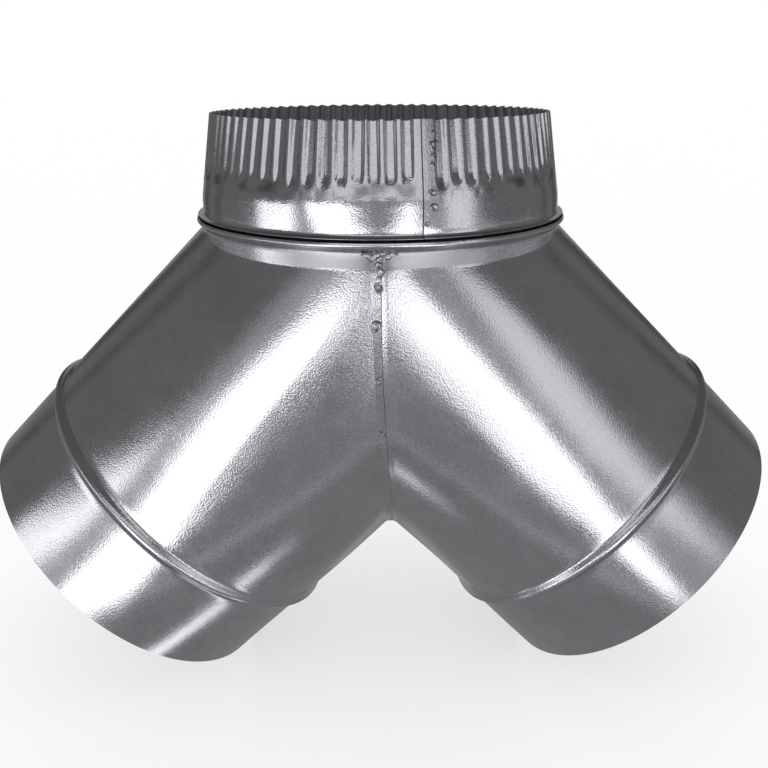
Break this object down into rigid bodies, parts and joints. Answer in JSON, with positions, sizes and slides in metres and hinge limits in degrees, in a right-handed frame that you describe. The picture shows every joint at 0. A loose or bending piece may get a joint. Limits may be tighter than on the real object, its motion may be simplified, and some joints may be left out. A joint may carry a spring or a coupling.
{
  "type": "duct y branch",
  "caption": "Sheet-steel duct Y branch: a crimped round inlet collar on top divides into two plain round outlets set 45 degrees to either side.",
  "frame": {"origin": "on the collar's axis at the stop, where the collar's plain band runs into its bead", "axes": "+Z along the collar's axis out of the crimped end, X from mouth to mouth, -Y is the front that the picture shows"},
  "size_m": [0.3542, 0.1582, 0.2544],
  "materials": {
    "galvanised_sheet": "bright satin galvanised sheet with fine grain"
  },
  "bodies": {
    "root": {"crimped_collar": "galvanised_sheet", "left_branch": "galvanised_sheet", "right_branch": "galvanised_sheet"}
  },
  "joints": []
}
